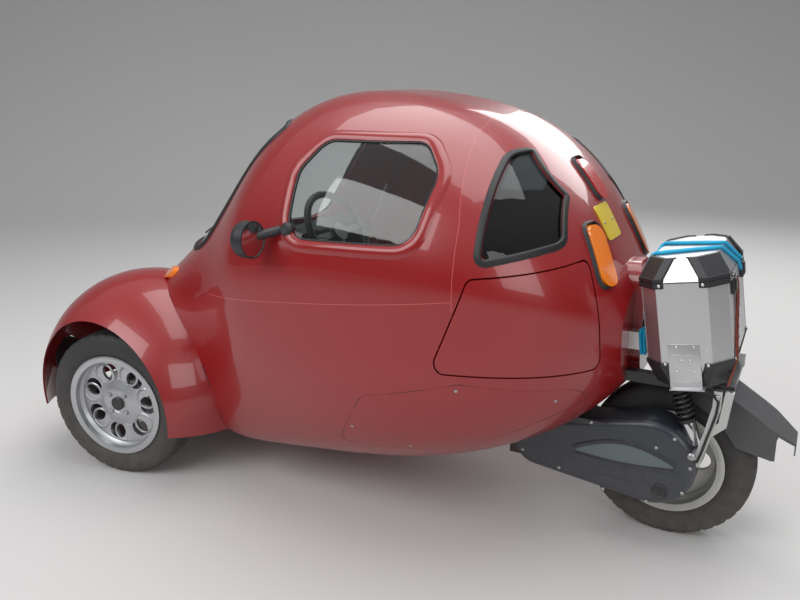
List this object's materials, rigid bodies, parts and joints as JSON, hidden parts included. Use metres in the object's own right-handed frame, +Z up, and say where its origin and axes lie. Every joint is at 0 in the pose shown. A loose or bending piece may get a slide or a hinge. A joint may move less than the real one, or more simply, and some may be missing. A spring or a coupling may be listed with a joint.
{
  "type": "three-wheeled car",
  "caption": "Egg-shaped three-wheeled car with two steered front wheels, hinged door and hatches, and a rear pannier.",
  "frame": {"origin": "on the ground at the middle of the bounding box", "axes": "+X to the rear, +Y to the car's right, +Z up; the nose faces -X"},
  "size_m": [2.89, 1.496, 1.4702],
  "materials": {
    "red_paint": "gloss",
    "rubber_black": "matte",
    "tyre_black": "matte",
    "rim_alloy": "satin",
    "box_aluminium": "satin",
    "cast_silver": "satin",
    "steel_black": "satin",
    "steel_bright": "satin",
    "cover_blue_grey": "satin",
    "plastic_black": "satin",
    "plastic_grey": "matte",
    "glass_clear": "gloss",
    "glass_tinted": "gloss",
    "lamp_clear": "gloss",
    "lamp_amber": "gloss",
    "lamp_red": "gloss",
    "plate_yellow": "gloss",
    "seat_cloth": "matte",
    "engine_metal": "matte",
    "strap_blue": "matte",
    "cord_brown": "matte",
    "chrome": "gloss"
  },
  "bodies": {
    "body": {"lower_body": "red_paint", "upper_body": "red_paint", "side_panels": "red_paint", "wing_left": "red_paint", "wing_right": "red_paint", "tail_hump": "red_paint", "wheel_wells": "plastic_black", "side_window_left": "glass_clear", "quarter_windows": "glass_tinted", "windscreen": "glass_clear", "headlamps": "lamp_clear", "indicators": "lamp_amber", "tail_lamp": "lamp_red", "number_plate": "plate_yellow", "mirror_left": "plastic_black", "seat": "seat_cloth", "steering_column": "steel_black", "dashboard": "plastic_black", "bulkhead": "plastic_black", "front_axle": "steel_black", "engine": "engine_metal", "drive_cover": "cover_blue_grey", "swing_arm": "steel_black", "rear_frame": "steel_black", "shocks": "steel_black", "rear_mudguard": "plastic_grey", "rear_bracket": "cast_silver", "silencer": "steel_black", "luggage_arms": "box_aluminium", "pannier_box": "box_aluminium"},
    "knuckle_left": {"knuckle_left": "steel_black"},
    "knuckle_right": {"knuckle_right": "steel_black"},
    "wheel_front_left": {"front_disc_left": "steel_bright", "front_rim_left": "rim_alloy", "front_tyre_left": "tyre_black"},
    "wheel_front_right": {"front_disc_right": "steel_bright", "front_rim_right": "rim_alloy", "front_tyre_right": "tyre_black"},
    "wheel_rear": {"rear_rim": "rim_alloy", "rear_tyre": "tyre_black"},
    "steering_wheel": {"steering_wheel": "plastic_black"},
    "track_rod": {"track_rod": "steel_bright"},
    "door": {"door_right": "red_paint", "side_window_right": "glass_clear", "mirror_right": "plastic_black"},
    "hatch_left": {"hatch_left": "red_paint"},
    "hatch_right": {"hatch_right": "red_paint"},
    "pannier_lid": {"pannier_lid": "box_aluminium"}
  },
  "joints": [
    {"name": "steer_left", "type": "hinge", "parent": "body", "child": "knuckle_left", "pos_m": [-0.945, -0.47, 0.295], "axis": [0, 0, 1], "range_deg": [-37.4, 14.6]},
    {"name": "steer_right", "type": "hinge", "parent": "body", "child": "knuckle_right", "pos_m": [-0.945, 0.47, 0.295], "axis": [0, 0, 1], "range_deg": [-37.4, 14.6]},
    {"name": "rack", "type": "slide", "parent": "body", "child": "track_rod", "axis": [0, 1, 0], "range_m": [-0.086, 0.034]},
    {"name": "steering", "type": "hinge", "parent": "body", "child": "steering_wheel", "pos_m": [-0.235, 0, 0.93], "axis": [0.8725, 0, 0.4886], "range_deg": [-375, 147]},
    {"name": "spin_left", "type": "hinge", "parent": "knuckle_left", "child": "wheel_front_left", "pos_m": [-0.93018, -0.54352, 0.295], "axis": [-0.1977, 0.9803, 0], "continuous": true},
    {"name": "spin_right", "type": "hinge", "parent": "knuckle_right", "child": "wheel_front_right", "pos_m": [-0.95982, 0.54352, 0.295], "axis": [-0.1977, 0.9803, 0], "continuous": true},
    {"name": "spin_rear", "type": "hinge", "parent": "body", "child": "wheel_rear", "pos_m": [1.075, 0, 0.27], "axis": [0, 1, 0], "continuous": true},
    {"name": "door_hinge", "type": "hinge", "parent": "body", "child": "door", "pos_m": [-0.388, 0.6, 0.62], "axis": [0, 0, 1], "range_deg": [0, 65]},
    {"name": "hatch_left_hinge", "type": "hinge", "parent": "body", "child": "hatch_left", "pos_m": [0.482, -0.637, 0.678], "axis": [-0.318, -0.144, -0.9371], "range_deg": [0, 70]},
    {"name": "hatch_right_hinge", "type": "hinge", "parent": "body", "child": "hatch_right", "pos_m": [0.482, 0.637, 0.678], "axis": [0.318, -0.144, 0.9371], "range_deg": [0, 70]},
    {"name": "lid_hinge", "type": "hinge", "parent": "body", "child": "pannier_lid", "pos_m": [0.98, -0.025, 0.91], "axis": [0, -1, 0], "range_deg": [0, 60]}
  ],
  "couplings": [
    {"joint": "steer_right", "follows": "steer_left", "ratio": 1},
    {"joint": "rack", "follows": "steer_left", "m_per_rad": 0.13},
    {"joint": "steering", "follows": "steer_left", "ratio": 10}
  ]
}
